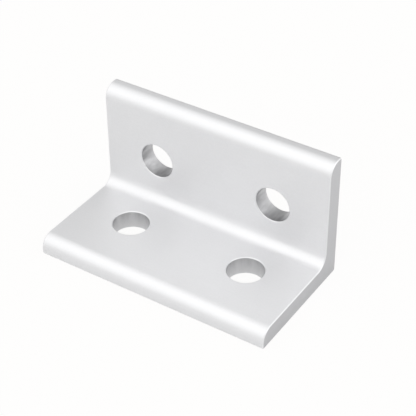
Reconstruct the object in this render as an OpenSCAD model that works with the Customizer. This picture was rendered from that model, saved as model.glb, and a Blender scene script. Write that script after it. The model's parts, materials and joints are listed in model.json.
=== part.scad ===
// Corner bracket: a short length of aluminium angle with two screw holes in each leg.
// X runs along the corner, Y from the base leg's free edge to the back face, Z up.
// The origin is the middle of the under face.

/* [Angle stock] */
// Length of the cut piece, along the corner
bracket_len = 38; // [30:1:80]
// Height of the upright leg, from the under face to its top
upright_h = 20; // [18:1:40]
// Depth of the base leg, from its free edge to the back face
base_w = 20; // [18:1:40]
// Thickness of both legs
wall_t = 3; // [2.5:0.5:4.5]
// Radius of the rounded lip on the inner side of each leg's free edge
lip_r = 2; // [0.5:0.25:2.5]
// Radius of the fillet along the inner corner
fillet_r = 2; // [0.5:0.5:3.5]
// Radius of the heel and of the outer corner of each free edge
corner_r = 0.4; // [0.4:0.1:0.9]

/* [Screw holes] */
// Diameter of the four screw holes
hole_d = 5.5; // [3:0.1:7]
// Distance between the two holes of a leg, centre to centre
hole_pitch = 20; // [12:1:26]
// Distance from the base leg's free edge to its hole centres
base_hole_edge = 10; // [6:0.5:11.5]
// Distance from the upright leg's top to its hole centres
upright_hole_edge = 10; // [6:0.5:11.5]

/* [Deburred edges] */
// Radius that rounds every edge of both cut ends
end_edge_r = 0.2; // [0.1:0.05:0.3]
// Radius that rounds both mouths of each hole
mouth_edge_r = 0.2; // [0.1:0.05:0.4]

/* [Hidden] */

$fn = 96;
// How far a cutter runs out past the metal, or a fillet into it
lap = 0.05;
quarter_turn = 90;

front_y = -base_w / 2;
back_y = base_w / 2;
inner_y = back_y - wall_t;
hole_r = hole_d / 2;

// Corners of the section, counter-clockwise, each with its place in Y and Z, its radius,
// its opening side in quarter turns, and whether it is an inner corner.
section_corners = [
    [[front_y, 0], corner_r, 0, false],
    [[back_y, 0], corner_r, 1, false],
    [[back_y, upright_h], corner_r, 2, false],
    [[inner_y, upright_h], lip_r, 3, false],
    [[inner_y, wall_t], fillet_r, 1, true],
    [[front_y, wall_t], lip_r, 3, false]
];

function corner_place(c) = c[0];
function corner_radius(c) = c[1];
function corner_turn(c) = c[2] * quarter_turn;
function is_inner(c) = c[3];

// Area between a square corner at the origin and the arc that rounds it
module corner_area(r) {
    difference() {
        translate([-lap, -lap])
            square(r + lap);
        translate([r, r])
            circle(r = r);
    }
}

module place_corner_area(c) {
    translate(corner_place(c))
        rotate(corner_turn(c))
            corner_area(corner_radius(c));
}

// Section of the angle, drawn with Y to the right and Z up
module section() {
    difference() {
        union() {
            polygon([for (c = section_corners) corner_place(c)]);
            for (c = section_corners)
                if (is_inner(c))
                    place_corner_area(c);
        }
        for (c = section_corners)
            if (!is_inner(c))
                place_corner_area(c);
    }
}

// Rounds the end's edge along the straight side from corner c to the next one, n
module straight_edge(c, n) {
    side = corner_place(n) - corner_place(c);
    run = norm(side) - corner_radius(c) - corner_radius(n);
    translate(corner_place(c))
        rotate(atan2(side[1], side[0]))
            translate([corner_radius(c), 0, 0])
                rotate([quarter_turn, 0, quarter_turn])
                    linear_extrude(height = run)
                        corner_area(end_edge_r);
}

// Rounds the end's edge along the arc of corner c, turning about the arc's own centre
module arc_edge(c) {
    r = corner_radius(c);
    translate(corner_place(c))
        rotate(corner_turn(c))
            translate([r, r, 0])
                rotate(2 * quarter_turn)
                    rotate_extrude(angle = quarter_turn)
                        translate([r, 0])
                            mirror([is_inner(c) ? 0 : 1, 0])
                                corner_area(end_edge_r);
}

// Ring of cutters that rounds every edge of the end face at z = 0, with the metal above
module end_cutter() {
    for (i = [0 : len(section_corners) - 1]) {
        c = section_corners[i];
        n = section_corners[(i + 1) % len(section_corners)];
        straight_edge(c, n);
        arc_edge(c);
    }
}

// The angle cut to length, lying along X
module cut_angle() {
    rotate([quarter_turn, 0, quarter_turn])
        difference() {
            translate([0, 0, -bracket_len / 2])
                linear_extrude(height = bracket_len)
                    section();
            for (side = [0, 1])
                mirror([0, 0, side])
                    translate([0, 0, -bracket_len / 2])
                        end_cutter();
        }
}

// One screw hole with both mouths rounded, from z = 0 up through a leg
module screw_hole() {
    rotate_extrude() {
        translate([0, -lap])
            square([hole_r, wall_t + 2 * lap]);
        translate([hole_r, 0])
            corner_area(mouth_edge_r);
        translate([hole_r, wall_t])
            mirror([0, 1])
                corner_area(mouth_edge_r);
    }
}

module leg_holes() {
    for (x = [-hole_pitch / 2, hole_pitch / 2]) {
        translate([x, front_y + base_hole_edge, 0])
            screw_hole();
        translate([x, back_y, upright_h - upright_hole_edge])
            rotate([quarter_turn, 0, 0])
                screw_hole();
    }
}

module bracket() {
    color([0.78, 0.79, 0.81])
        difference() {
            cut_angle();
            leg_holes();
        }
}

bracket();
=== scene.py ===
# Corner bracket: satin anodised aluminium angle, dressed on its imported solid, with floor, light and camera.
# Lengths are metres. X runs along the corner, Y from the base leg's free edge to the back face, Z up.
import json
import bpy
import numpy as np
from mathutils import Matrix, Vector

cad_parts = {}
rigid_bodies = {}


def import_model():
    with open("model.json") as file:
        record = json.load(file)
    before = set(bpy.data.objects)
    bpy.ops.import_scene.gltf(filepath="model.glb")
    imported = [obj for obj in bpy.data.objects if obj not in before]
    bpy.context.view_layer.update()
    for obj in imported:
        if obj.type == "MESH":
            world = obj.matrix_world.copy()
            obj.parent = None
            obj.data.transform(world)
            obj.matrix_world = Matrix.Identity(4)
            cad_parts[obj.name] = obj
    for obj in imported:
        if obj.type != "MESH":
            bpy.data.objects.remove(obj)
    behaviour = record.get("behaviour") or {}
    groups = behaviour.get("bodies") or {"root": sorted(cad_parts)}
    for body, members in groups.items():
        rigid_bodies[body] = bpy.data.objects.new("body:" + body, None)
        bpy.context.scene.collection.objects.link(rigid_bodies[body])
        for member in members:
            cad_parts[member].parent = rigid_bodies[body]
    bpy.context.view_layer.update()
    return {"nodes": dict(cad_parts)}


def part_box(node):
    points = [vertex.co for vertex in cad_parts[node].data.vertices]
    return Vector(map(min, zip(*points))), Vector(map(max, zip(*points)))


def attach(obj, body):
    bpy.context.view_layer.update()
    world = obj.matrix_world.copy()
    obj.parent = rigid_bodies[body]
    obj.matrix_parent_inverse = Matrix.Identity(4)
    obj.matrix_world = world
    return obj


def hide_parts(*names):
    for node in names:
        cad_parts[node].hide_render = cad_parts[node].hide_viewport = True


for leftOver in list(bpy.data.objects):
    bpy.data.objects.remove(leftOver)
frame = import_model()
scene = bpy.context.scene
scene.view_settings.view_transform = "Standard"
print("frame loaded:", sorted(frame["nodes"]))


# Wraps one output socket of a node tree. An expression on it adds the Math nodes that work it out.
class Wire:
    def __init__(self, tree, socket=None):
        self.tree = tree
        self.socket = socket

    # Adds one node: its settings first, then the value or link of each socket, and gives one output.
    def node(self, kind, settings=None, sockets=None, output=0):
        made = self.tree.nodes.new(kind)
        for name, value in (settings or {}).items():
            setattr(made, name, value)
        for name, value in (sockets or {}).items():
            if isinstance(value, Wire):
                self.tree.links.new(value.socket, made.inputs[name])
            else:
                made.inputs[name].default_value = value
        return Wire(self.tree, made.outputs[output] if made.outputs else None)

    def math(self, operation, *values):
        return self.node("ShaderNodeMath", {"operation": operation}, dict(enumerate(values)))

    def __add__(self, other):
        return self.math("ADD", self, other)

    def __radd__(self, other):
        return self.math("ADD", other, self)

    def __sub__(self, other):
        return self.math("SUBTRACT", self, other)

    def __rsub__(self, other):
        return self.math("SUBTRACT", other, self)

    def __mul__(self, other):
        return self.math("MULTIPLY", self, other)

    def __rmul__(self, other):
        return self.math("MULTIPLY", other, self)


# The bracket's sizes that its box doesn't give, and how finely each of its surfaces is divided.
bracketSize = {
    "wall": 0.003,
    "lipRadius": 0.002,
    "filletRadius": 0.002,
    "cornerRadius": 0.0004,
    "endRadius": 0.0002,
    "mouthRadius": 0.0002,
    "holeRadius": 0.00275,
    "holePitch": 0.020,
    "baseHoleEdge": 0.010,
    "uprightHoleEdge": 0.010,
    "holeFrame": 0.0044,  # half side of the square of skin that is laid out round a hole
    "holeSteps": 24,      # steps along one side of that square
    "lipSteps": 14,
    "filletSteps": 14,
    "cornerSteps": 6,
    "heelSteps": 6,
    "webSteps": 6,        # steps from a lip to the hole's square
    "rootSteps": 1,       # steps from the hole's square to the fillet
    "squareSteps": 3,     # steps from a hole's mouth to its square
    "squareGather": 1.3,  # power that draws those steps in to the mouth
    "gapSteps": 4,        # steps from a hole's square to a cut end, and half of those between the squares
    "edgeSteps": 5,       # steps round the small radii of the ends and the hole mouths
    "tipSteps": 3,        # steps across the flats of the free edges, and across the cut ends
    "boreSteps": 6,
    "flatLimit": 0.99,    # a normal whose Y or Z part is past this belongs to a flat
    "archRise": 2.5,      # how soon the skin on an arc takes on the smoother finish there
    "lineStretch": 0.03,  # X times this is where draw lines are read, so that they run along X
    "boreStretch": 0.35,  # the same along the axis of a bore
    "weldCell": 1e-7,     # points that fall in one cell of this size are made one
    "weldShift": 0.31,    # shift of the cells, as a share of one, so that no point lies between two
    "boreShadeStrength": {"base": 0.65, "upright": 1.0},  # how strongly each leg's bores carry the bore's dark colour, which is painted shade
    "boreShadeFade": {"base": 1.0, "upright": 0.4},   # how much of that painted shade is gone at the outer mouth
}


# Values spread evenly between stops, with the given steps for each span. In a span that a hole's square
# takes up they are centre + half * tan(angle), for even angles from -45 to 45 degrees, to meet its spokes.
def spread(stops, steps, holeSpans):
    spans = []
    for k, (first, last) in enumerate(zip(stops[:-1], stops[1:])):
        share = np.linspace(-1, 1, steps[k] + 1)
        share = np.tan(share * np.pi / 4) if k in holeSpans else share
        spans.append(((first + last) / 2 + (last - first) / 2 * share)[:-1])
    return np.append(np.concatenate(spans), stops[-1])


# Points centre + radius * (cos a, sin a) of the section and their normals (cos a, sin a), for even
# angles a. A negative radius gives a hollow arc.
def arcPoints(centre, radius, first, last, steps):
    turn = np.radians(np.linspace(first, last, steps + 1))
    normals = np.stack([np.cos(turn), np.sin(turn)], 1)
    return np.hstack([np.array(centre) + radius * normals, normals])


# Points of a straight side of the section, without its two ends, all with one normal.
def sidePoints(across, up, normal):
    across, up = np.broadcast_arrays(across, up)
    sides = np.stack([across, up], 1)[1:-1]
    return np.hstack([sides, np.tile(normal, (len(sides), 1))])


# Two paths round the angle's section, each row a place and a normal in Y and Z: the outer one from the
# front edge by the heel to the top, and the inner one from the front edge by the fillet to the top.
# They have as many points, so that a cut end can be ruled from one to the other.
def sectionPaths(s, low, high):
    inner = high[1] - s["wall"]
    lip, fillet, corner = s["lipRadius"], s["filletRadius"], s["cornerRadius"]
    lipMore = s["lipSteps"] - s["cornerSteps"]
    filletMore = (s["filletSteps"] - s["heelSteps"]) // 2
    sides = []
    for freeEdge, toward, width, edge in (
        (low[1], 1, high[1] - low[1], s["baseHoleEdge"]),
        (high[2], -1, high[2] - low[2], s["uprightHoleEdge"]),
    ):
        square = [edge - s["holeFrame"], edge + s["holeFrame"]]
        stops = [lip, *square, width - s["wall"] - fillet]
        steps = [s["webSteps"], s["holeSteps"], s["rootSteps"]]
        sides.append(freeEdge + toward * spread([corner, *stops, width - corner],
                                                [lipMore, *steps, filletMore], [2]))
        sides.append(freeEdge + toward * spread(stops, steps, [1]))
    outer = np.vstack([
        arcPoints((low[1] + corner, low[2] + corner), corner, 180, 270, s["cornerSteps"]),
        sidePoints(sides[0], low[2], (0, -1)),
        arcPoints((high[1] - corner, low[2] + corner), corner, 270, 360, s["heelSteps"]),
        sidePoints(high[1], sides[2][::-1], (1, 0)),
        arcPoints((high[1] - corner, high[2] - corner), corner, 0, 90, s["cornerSteps"]),
    ])
    innerPath = np.vstack([
        arcPoints((low[1] + lip, low[2] + s["wall"] - lip), lip, 180, 90, s["lipSteps"]),
        sidePoints(sides[1], low[2] + s["wall"], (0, 1)),
        arcPoints((inner - fillet, low[2] + s["wall"] + fillet), -fillet, 90, 180, s["filletSteps"]),
        sidePoints(inner, sides[3][::-1], (-1, 0)),
        arcPoints((inner + lip, high[2] - lip), lip, 180, 90, s["lipSteps"]),
    ])
    return outer, innerPath


# Quads of a grid of rows by columns of points, numbered row by row, as an array of four point numbers.
# A closed grid also joins its last row to its first.
def gridQuads(rows, columns, closed=False):
    numbers = np.arange(rows * columns).reshape(rows, columns)
    after = np.roll(numbers, -1, 0)
    quads = np.stack([numbers[:, :-1], after[:, :-1], after[:, 1:], numbers[:, 1:]], 2)
    return quads if closed else quads[:-1]


# How far the outline's points are on an arc: archRise * |normal in Y * normal in Z|, at most 1.
def archOf(s, outline):
    return np.minimum(1, s["archRise"] * np.abs(outline[:, 2] * outline[:, 3]))


# One patch of surface: points, normals, quads, the place that its making marks are read at, and how far it is
# sawn end (with its partly painted shade), drilled bore (with its painted shade), small rounded edge (with
# its painted highlight) and arc of the skin, each from 0 to 1.
def patch(points, normals, quads, marks, end=0, bore=0, edge=0, arch=0):
    count = len(points)
    shares = [np.broadcast_to(share, count) for share in (end, bore, edge, arch)]
    return points, normals, quads.reshape(-1, 4), marks, np.stack(shares, 1)


# Extruded skin: the closed outline carried straight along X, without the squares that hold the holes.
# Its marks are places with X shortened, so that draw lines run along X.
def extrudedSkin(s, outline, alongX, holeX, holeY, holeZ):
    rows, columns = len(outline), len(alongX)
    points = np.empty((rows, columns, 3))
    points[..., 0] = alongX
    points[..., 1:] = outline[:, None, :2]
    normals = np.zeros((rows, columns, 3))
    normals[..., 1:] = outline[:, None, 2:]
    middle = (outline + np.roll(outline, -1, 0)) / 2
    half = s["holeFrame"]
    inBase = (np.abs(middle[:, 3]) > s["flatLimit"]) & (np.abs(middle[:, 0] - holeY) < half)
    inUpright = (np.abs(middle[:, 2]) > s["flatLimit"]) & (np.abs(middle[:, 1] - holeZ) < half)
    middleX = (alongX[:-1] + alongX[1:]) / 2
    inHole = (np.abs(middleX[:, None] - holeX) < half).any(1)
    keep = ~((inBase | inUpright)[:, None] & inHole)
    marks = points * (s["lineStretch"], 1, 1)
    quads = gridQuads(rows, columns, closed=True)[keep]
    arch = np.repeat(archOf(s, outline), columns)
    return patch(points.reshape(-1, 3), normals.reshape(-1, 3), quads, marks.reshape(-1, 3), arch=arch)


# Flat skin between a hole's mouth and its square: (1 - w) * circle + w * square along each spoke, where w
# is an even share from 0 to 1 raised to the power squareGather.
def skinRoundHole(s, turn, place):
    w = np.linspace(0, 1, s["squareSteps"] + 1)[:, None] ** s["squareGather"]
    spokes = np.stack([np.cos(turn), np.sin(turn)], 1)
    circle = spokes[:, None] * (s["holeRadius"] + s["mouthRadius"])
    square = (spokes / np.abs(spokes).max(1, keepdims=True) * s["holeFrame"])[:, None]
    flat = (1 - w) * circle + w * square
    points, normals = place(flat[..., 0], flat[..., 1], 0 * flat[..., 0], 0, 0, 1)
    marks = points * (s["lineStretch"], 1, 1)
    return patch(points, normals, gridQuads(len(turn), len(w), closed=True), marks)


# Bore with both mouths rounded, its profile turned about the hole's axis. The profile is a quarter round
# of radius e about (R + e, depth e), the straight wall at R, and the same quarter round mirrored.
# The marks are shortened along that axis, so that streaks run through the bore. The bore's dark colour is
# painted shade, and it fades in proportion to the depth, from the inner mouth to the outer one.
def drilledBore(s, turn, place, leg):
    e, radius, wall = s["mouthRadius"], s["holeRadius"], s["wall"]
    quarter = np.radians(np.linspace(90, 0, s["edgeSteps"] + 1))
    straight = np.linspace(e, wall - e, s["boreSteps"] + 1)[1:-1]
    mouth = np.stack([radius + e - e * np.cos(quarter), e * np.sin(quarter) - e,
                      -np.cos(quarter), np.sin(quarter), np.sin(2 * quarter)], 1)
    walls = np.stack([0 * straight + radius, -straight, 0 * straight - 1, 0 * straight, 0 * straight], 1)
    foot = mouth[::-1] * (1, -1, 1, -1, 1) - (0, wall, 0, 0, 0)
    profile = np.vstack([mouth, walls, foot])
    cosine, sine = np.cos(turn)[:, None], np.sin(turn)[:, None]
    points, normals = place(profile[:, 0] * cosine, profile[:, 0] * sine, profile[:, 1] + 0 * cosine,
                            profile[:, 2] * cosine, profile[:, 2] * sine, profile[:, 3] + 0 * cosine)
    marks = points.copy()
    marks[:, 2 if leg == "base" else 1] *= s["boreStretch"]
    # Painted shade in the bore: dark colour on the wall, set for each leg and fading towards the outer mouth.
    fade = np.clip(1 + s["boreShadeFade"][leg] * profile[:, 1] / wall, 0, 1)
    boreShadeTone = -profile[:, 2] * s["boreShadeStrength"][leg] * fade
    bore = np.broadcast_to(boreShadeTone, (len(turn), len(profile))).ravel()
    # The mouth roundings carry the edge share, sin 2a, where the lighter edge colour is a painted highlight.
    edge = np.broadcast_to(profile[:, 4], (len(turn), len(profile))).ravel()
    return patch(points, normals, gridQuads(len(turn), len(profile), closed=True), marks, 0, bore, edge)


# Rounded edge of a cut end: outline - normal * e * (1 - cos b) across and e * (1 - sin b) in from the end's
# plane, for b from 0 to 90 degrees. It turns from skin to sawn end with sin b, and with it to the sawn end's
# colour, which is partly painted shade. It loses the skin's arc with cos b, and is most of an edge, sin 2b,
# half-way, where its lighter colour is a painted highlight.
def endRounding(s, outline, endX, side):
    e = s["endRadius"]
    turn = np.radians(np.linspace(0, 90, s["edgeSteps"] + 1))
    flat = outline[:, None, :2] - outline[:, None, 2:] * (e * (1 - np.cos(turn)))[:, None]
    points = np.empty((*flat.shape[:2], 3))
    points[..., 0] = endX - side * e * (1 - np.sin(turn))
    points[..., 1:] = flat
    normals = np.empty_like(points)
    normals[..., 0] = side * np.sin(turn)
    normals[..., 1:] = outline[:, None, 2:] * np.cos(turn)[:, None]
    share = np.broadcast_to(np.sin(turn), flat.shape[:2]).ravel()
    edge = np.broadcast_to(np.sin(2 * turn), flat.shape[:2]).ravel()
    arch = np.outer(archOf(s, outline), np.cos(turn)).ravel()
    quads = gridQuads(len(outline), len(turn), closed=True)
    points = points.reshape(-1, 3)
    return patch(points, normals.reshape(-1, 3), quads, points, share, 0, edge, arch)


# Flat of a cut end, ruled between the two paths: (1 - v) * outer + v * inner, each set in by e. All of it has
# the sawn end's darker colour, which is partly painted shade.
def cutEnd(s, outer, inner, endX, side):
    e = s["endRadius"]
    v = np.linspace(0, 1, s["tipSteps"] + 1)[:, None]
    outerSet = (outer[:, :2] - e * outer[:, 2:])[:, None]
    innerSet = (inner[:, :2] - e * inner[:, 2:])[:, None]
    flat = (1 - v) * outerSet + v * innerSet
    points = np.full((*flat.shape[:2], 3), float(endX))
    points[..., 1:] = flat
    points = points.reshape(-1, 3)
    normals = np.tile((side, 0.0, 0.0), (len(points), 1))
    return patch(points, normals, gridQuads(len(outer), len(v)), points, 1)


# All patches in one mesh: points in the same cell of a fine grid are made one, and a quad is turned round
# where the cross product of its diagonals points against its normals. Marks stay with the corners of faces
# and shares with the points.
def joinPatches(s, patches, name):
    starts = np.cumsum([0] + [len(p[0]) for p in patches[:-1]])
    points = np.vstack([p[0] for p in patches])
    normals = np.vstack([p[1] for p in patches])
    quads = np.vstack([p[2] + start for p, start in zip(patches, starts)])
    marks = np.vstack([p[3] for p in patches])
    shares = np.vstack([p[4] for p in patches])
    corners = points[quads]
    facing = np.cross(corners[:, 2] - corners[:, 0], corners[:, 3] - corners[:, 1])
    inward = (facing * normals[quads].sum(1)).sum(1) < 0
    quads[inward] = quads[inward][:, ::-1]
    grid = np.round(points / s["weldCell"] + s["weldShift"]).astype(np.int64)
    first, number = np.unique(grid, axis=0, return_index=True, return_inverse=True)[1:]
    number = number.ravel()
    mesh = bpy.data.meshes.new(name)
    mesh.from_pydata(points[first].tolist(), [], number[quads].tolist())
    mesh.polygons.foreach_set("use_smooth", np.ones(len(quads), bool))
    mesh.attributes.new("marks", "FLOAT_VECTOR", "CORNER").data.foreach_set(
        "vector", marks[quads].astype(np.float32).ravel())
    for k, share in enumerate(("endAndShadeShare", "boreAndShadeShare", "edgeAndHighlightShare", "archShare")):
        mesh.attributes.new(share, "FLOAT", "POINT").data.foreach_set(
            "value", shares[first, k].astype(np.float32))
    mesh.normals_split_custom_set_from_vertices(normals[first].tolist())
    mesh.update()
    return mesh


# Gives a function that puts a point on a leg's face, at centre + a * X + b * along + h * outward, and its
# normal in the same way without the centre.
def facePlacer(centre, along, outward):
    faceFrame = np.array([(1, 0, 0), along, outward], float)

    def place(a, b, h, normalA, normalB, normalH):
        a, b, h, normalA, normalB, normalH = np.broadcast_arrays(a, b, h, normalA, normalB, normalH)
        points = np.array(centre) + np.stack([a, b, h], 2) @ faceFrame
        normals = np.stack([normalA, normalB, normalH], 2) @ faceFrame
        return points.reshape(-1, 3), normals.reshape(-1, 3)
    return place


# The whole bracket. Its outline is the outer path, the flat of the top, the inner path back down and the
# flat of the front edge. Skin, holes and cut ends are added in turn, and joined.
def buildBracket(s):
    low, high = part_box("bracket")
    outer, inner = sectionPaths(s, low, high)
    tip = s["tipSteps"]
    top = sidePoints(np.linspace(outer[-1, 0], inner[-1, 0], tip + 1), high[2], (0, 1))
    front = sidePoints(low[1], np.linspace(inner[0, 1], outer[0, 1], tip + 1), (-1, 0))
    outline = np.vstack([outer, top, inner[::-1], front])
    half, e = s["holeFrame"], s["endRadius"]
    holeX = (low[0] + high[0]) / 2 + s["holePitch"] / 2 * np.array([-1, 1])
    holeY = low[1] + s["baseHoleEdge"]
    holeZ = high[2] - s["uprightHoleEdge"]
    stopsX = [low[0] + e, holeX[0] - half, holeX[0] + half, holeX[1] - half, holeX[1] + half, high[0] - e]
    gap, hole = s["gapSteps"], s["holeSteps"]
    alongX = spread(stopsX, [gap, hole, 2 * gap, hole, gap], [1, 3])
    patches = [extrudedSkin(s, outline, alongX, holeX, holeY, holeZ)]
    turn = np.radians(np.arange(4 * hole) * 90 / hole)
    wall = s["wall"]
    for x in holeX:
        baseTop = facePlacer((x, holeY, low[2] + wall), (0, 1, 0), (0, 0, 1))
        baseUnder = facePlacer((x, holeY, low[2]), (0, 1, 0), (0, 0, -1))
        uprightFront = facePlacer((x, high[1] - wall, holeZ), (0, 0, 1), (0, -1, 0))
        uprightBack = facePlacer((x, high[1], holeZ), (0, 0, 1), (0, 1, 0))
        for face in (baseTop, baseUnder, uprightFront, uprightBack):
            patches.append(skinRoundHole(s, turn, face))
        patches.append(drilledBore(s, turn, baseTop, "base"))
        patches.append(drilledBore(s, turn, uprightFront, "upright"))
    for endX, side in ((low[0], -1), (high[0], 1)):
        patches.append(endRounding(s, outline, endX, side))
        patches.append(cutEnd(s, outer, inner, endX, side))
    bracket = bpy.data.objects.new("satin_bracket", joinPatches(s, patches, "satin_bracket"))
    scene.collection.objects.link(bracket)
    return bracket


bracket = buildBracket(bracketSize)
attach(bracket, "root")
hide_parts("bracket")
print("bracket built:", len(bracket.data.polygons), "faces")


# Anodised finish. Colours are plain reflectances, except that the cut ends' colour is darkened partly as
# painted shade, the bores' colours are painted shade and the small edges' colour is lightened as a painted
# highlight. Each pattern is noise, given by its size in metres, its detail and its roughness.
finish = {
    "metal": (0.875, 0.876, 0.884, 1),
    "metalCloud": (0.795, 0.796, 0.804, 1),
    # The small edges' colour is lighter than the skin, as a painted highlight.
    "edgeHighlightMetal": (0.89, 0.891, 0.90, 1),
    # The cut ends' colour: darker partly for the sawn finish and partly as painted shade, for the shade that
    # the cut ends reflect.
    "cutShadeMetal": (0.60, 0.60, 0.612, 1),
    # The bores' colours are dark as painted shade in the holes. The streak noise only varies them.
    "boreShadeMetal": (0.34, 0.34, 0.35, 1),
    "boreShadeStreak": (0.56, 0.56, 0.57, 1),
    "roughness": 0.58,
    "archRoughness": 0.42,   # the die leaves the lips and the fillet smoother than the flats
    "cutRoughness": 0.40,
    "boreRoughness": 0.30,
    "grainRoughness": 0.06,  # how much each of these changes the roughness
    "cloudRoughness": 0.03,
    "edgeRoughness": -0.04,
    "grain": (0.00016, 2.0, 0.6),
    "cloud": (0.004, 2.0, 0.5),
    "speckle": (0.0003, 2.0, 0.6),
    "lines": (0.00035, 3.0, 0.65),
    "streak": (0.0009, 2.0, 0.5),
    "cloudShare": 0.25,      # what each pattern adds to the way from metal to metalCloud
    "speckleShare": 0.5,
    "lineShare": 0.2,
    "streakFrom": 0.30,      # the noise from which a bore turns to its streaks, and where it is all streak
    "streakTo": 0.80,
    "grainDepth": 0.0000022,
    "lineDepth": 0.25,       # depth of the draw lines, as a share of the grain's
}


# The skin's colour goes from metal to metalCloud with clouds, speckle and draw lines. It gives way to the
# sawn end's darker colour, partly painted shade, by the end's share, to the bore's dark colour, which is
# painted shade, by the bore's share, and to the edge's lighter colour, a painted highlight, by the edge's
# share. Roughness goes the same way, with archShare for the arcs. Grain and draw lines give the bump.
def anodisedFinish(f):
    material = bpy.data.materials.new("satin_aluminium")
    material.use_nodes = True
    tree = material.node_tree
    tree.nodes.clear()
    sheet = Wire(tree)
    place = sheet.node("ShaderNodeTexCoord", output="Object")
    marks = sheet.node("ShaderNodeAttribute", {"attribute_name": "marks"}, output="Vector")
    end = sheet.node("ShaderNodeAttribute", {"attribute_name": "endAndShadeShare"}, output="Fac")
    bore = sheet.node("ShaderNodeAttribute", {"attribute_name": "boreAndShadeShare"}, output="Fac")
    edge = sheet.node("ShaderNodeAttribute", {"attribute_name": "edgeAndHighlightShare"}, output="Fac")
    arch = sheet.node("ShaderNodeAttribute", {"attribute_name": "archShare"}, output="Fac")

    def noise(vector, pattern):
        size, detail, roughness = pattern
        return sheet.node("ShaderNodeTexNoise", None, {
            "Vector": vector, "Scale": 1 / size, "Detail": detail, "Roughness": roughness})

    def blend(share, first, second):
        return sheet.node("ShaderNodeMix", {"data_type": "RGBA"}, {0: share, 6: first, 7: second}, output=2)

    grain = noise(place, f["grain"])
    cloud = noise(place, f["cloud"])
    speckle = noise(place, f["speckle"])
    lines = noise(marks, f["lines"])
    streak = noise(marks, f["streak"])
    clouding = cloud * f["cloudShare"] + lines * f["lineShare"] + speckle * f["speckleShare"]
    skinColour = blend(clouding, f["metal"], f["metalCloud"])
    streaking = sheet.node("ShaderNodeMapRange", {"interpolation_type": "SMOOTHSTEP"}, {
        "Value": streak, "From Min": f["streakFrom"], "From Max": f["streakTo"]})
    # Bore colour: painted shade, with random streaks.
    boreShadeColour = blend(streaking, f["boreShadeMetal"], f["boreShadeStreak"])
    # The sawn end's darker colour is partly painted shade. The bore's dark colour is painted shade.
    flatColour = blend(bore, blend(end, skinColour, f["cutShadeMetal"]), boreShadeColour)
    # The lighter edge colour is a painted highlight along the small rounded edges and the hole mouths.
    colour = blend(edge, flatColour, f["edgeHighlightMetal"])
    roughness = (f["roughness"] + end * (f["cutRoughness"] - f["roughness"])
                 + bore * (f["boreRoughness"] - f["roughness"])
                 + arch * (f["archRoughness"] - f["roughness"])
                 + (grain - 0.5) * f["grainRoughness"] + (cloud - 0.5) * f["cloudRoughness"]
                 + edge * f["edgeRoughness"])
    bump = sheet.node("ShaderNodeBump", None, {
        "Strength": 1.0, "Distance": f["grainDepth"], "Height": grain + lines * f["lineDepth"]})
    shader = sheet.node("ShaderNodeBsdfPrincipled", None, {
        "Base Color": colour, "Metallic": 1.0, "Roughness": roughness, "Normal": bump})
    sheet.node("ShaderNodeOutputMaterial", None, {"Surface": shader})
    return material


bracket.data.materials.append(anodisedFinish(finish))
print("finish made")


# Pale studio floor, lamps and sky. Strengths are radiance, where 1 shows white as white.
studio = {
    "floorRadius": 3.0,
    "floorRings": (0.02, 0.1, 0.4, 1.0),  # shares of that radius
    "floorHeight": 0.00001,  # a hair over the bracket's under face, so that the two don't lie in one plane
    "floorAround": 96,
    "floorRoughness": 0.5,
    "floorColour": (0.80, 0.80, 0.80, 1),
    "glowColour": (1.0, 0.996, 0.99, 1),
    "floorGlow": 0.95,    # share of the floor that the camera sees as plain white, without shadow
    "mirrorGlow": 0.32,   # the same share in reflections
    "skyStrength": 0.93,
    "cardToward": (-0.31, 0.915, 0.246),
    "cardSpread": 42,     # degrees from the grey card's middle to where it has faded out
    "cardDepth": 0.78,    # how much of the sky it takes away in its middle
    "lampAim": (0, 0, 0.01),
    "lampDistance": 0.45,
    "keyToward": (-0.097, -0.310, 0.946),
    "keySize": 0.75,
    "keyRadiance": 0.11,
    "fillToward": (-0.237, -0.633, 0.737),
    "fillSize": 0.72,
    "fillRadiance": 0.235,
    "sideToward": (0.88, 0.24, 0.32),
    "sideSize": 0.58,
    "sideRadiance": 0.45,
}


# Floor disc: rings of points r * (cos a, sin a) at one height, with one flat face inside the first ring.
def floorDisc(s):
    rings = s["floorRadius"] * np.array(s["floorRings"])
    around = s["floorAround"]
    turn = np.arange(around) * 2 * np.pi / around
    points = np.stack([np.outer(np.cos(turn), rings), np.outer(np.sin(turn), rings),
                       np.full((around, len(rings)), s["floorHeight"])], 2).reshape(-1, 3)
    quads = gridQuads(around, len(rings), closed=True).reshape(-1, 4)[:, ::-1]
    middle = np.arange(around) * len(rings)
    mesh = bpy.data.meshes.new("floor")
    mesh.from_pydata(points.tolist(), [], quads.tolist() + [middle.tolist()])
    mesh.update()
    floor = bpy.data.objects.new("floor", mesh)
    scene.collection.objects.link(floor)
    return floor


# Pale diffuse floor, mixed with plain white glow: by floorGlow where the camera looks, and by mirrorGlow in
# reflections.
def floorFinish(s):
    material = bpy.data.materials.new("pale_floor")
    material.use_nodes = True
    tree = material.node_tree
    tree.nodes.clear()
    sheet = Wire(tree)
    seen = sheet.node("ShaderNodeLightPath", output="Is Camera Ray")
    mirrored = (sheet.node("ShaderNodeLightPath", output="Is Glossy Ray")
                + sheet.node("ShaderNodeLightPath", output="Is Transmission Ray"))
    plain = sheet.node("ShaderNodeBsdfDiffuse", None, {
        "Color": s["floorColour"], "Roughness": s["floorRoughness"]})
    glow = sheet.node("ShaderNodeEmission", None, {"Color": s["glowColour"], "Strength": 1.0})
    mixed = sheet.node("ShaderNodeMixShader", None, {
        0: seen * s["floorGlow"] + mirrored * s["mirrorGlow"], 1: plain, 2: glow})
    sheet.node("ShaderNodeOutputMaterial", None, {"Surface": mixed})
    return material


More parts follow.
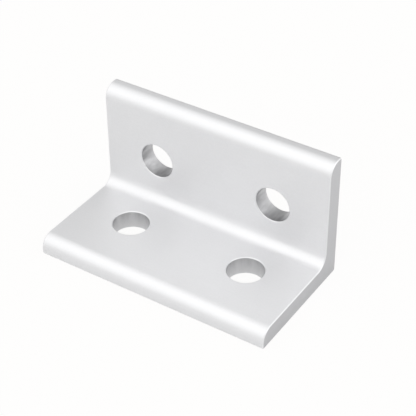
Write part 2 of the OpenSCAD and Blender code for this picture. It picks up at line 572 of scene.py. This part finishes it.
# Sky: skyStrength, less cardDepth times a smooth blob about one direction, like a grey card behind the
# bracket. The camera sees plain white there.
def paleSky(s):
    world = bpy.data.worlds.new("studio")
    scene.world = world
    world.use_nodes = True
    tree = world.node_tree
    tree.nodes.clear()
    sheet = Wire(tree)
    toward = sheet.node("ShaderNodeTexCoord", output="Generated")
    seen = sheet.node("ShaderNodeLightPath", output="Is Camera Ray")
    facing = sheet.node("ShaderNodeVectorMath", {"operation": "DOT_PRODUCT"}, {
        0: toward, 1: Vector(s["cardToward"]).normalized()}, output="Value")
    card = sheet.node("ShaderNodeMapRange", {"interpolation_type": "SMOOTHSTEP"}, {
        "Value": facing, "From Min": float(np.cos(np.radians(s["cardSpread"]))), "From Max": 1.0})
    lighting = s["skyStrength"] - card * s["cardDepth"]
    sky = sheet.node("ShaderNodeBackground", None, {
        "Color": (1, 1, 1, 1), "Strength": sheet.math("MAXIMUM", lighting, seen)})
    sheet.node("ShaderNodeOutputWorld", None, {"Surface": sky})


# Square lamp that faces the bracket. A lamp of area A and power P shines with radiance P / (pi * A).
def softLamp(s, name):
    lamp = bpy.data.lights.new(name, "AREA")
    lamp.size = s[name + "Size"]
    lamp.energy = s[name + "Radiance"] * np.pi * lamp.size ** 2
    holder = bpy.data.objects.new(name, lamp)
    way = Vector(s[name + "Toward"]).normalized()
    holder.location = Vector(s["lampAim"]) + way * s["lampDistance"]
    holder.rotation_mode = "QUATERNION"
    holder.rotation_quaternion = (-way).to_track_quat("-Z", "Y")
    scene.collection.objects.link(holder)


floor = floorDisc(studio)
floor.data.materials.append(floorFinish(studio))
paleSky(studio)
for lamp in ("key", "fill", "side"):
    softLamp(studio, lamp)
print("studio lit")


# Camera of the photograph's view.
view = {
    "place": (0.083236, -0.120089, 0.121209),
    "aim": (-0.000054, 0.00566, 0.006229),
    "sensor": 36,   # millimetres, as the lens
    "lens": 112.113,
    "roll": -0.51,  # degrees
    "near": 0.01,
    "far": 20,
}


# Camera at place, turned so that it looks at aim, then rolled about its own axis.
def setCamera(v):
    camera = bpy.data.objects.new("camera", bpy.data.cameras.new("camera"))
    camera.data.sensor_width = v["sensor"]
    camera.data.lens = v["lens"]
    camera.data.clip_start = v["near"]
    camera.data.clip_end = v["far"]
    way = Vector(v["aim"]) - Vector(v["place"])
    turn = way.to_track_quat("-Z", "Y").to_matrix().to_4x4() @ Matrix.Rotation(np.radians(v["roll"]), 4, "Z")
    camera.matrix_world = Matrix.Translation(v["place"]) @ turn
    scene.collection.objects.link(camera)
    scene.camera = camera


setCamera(view)
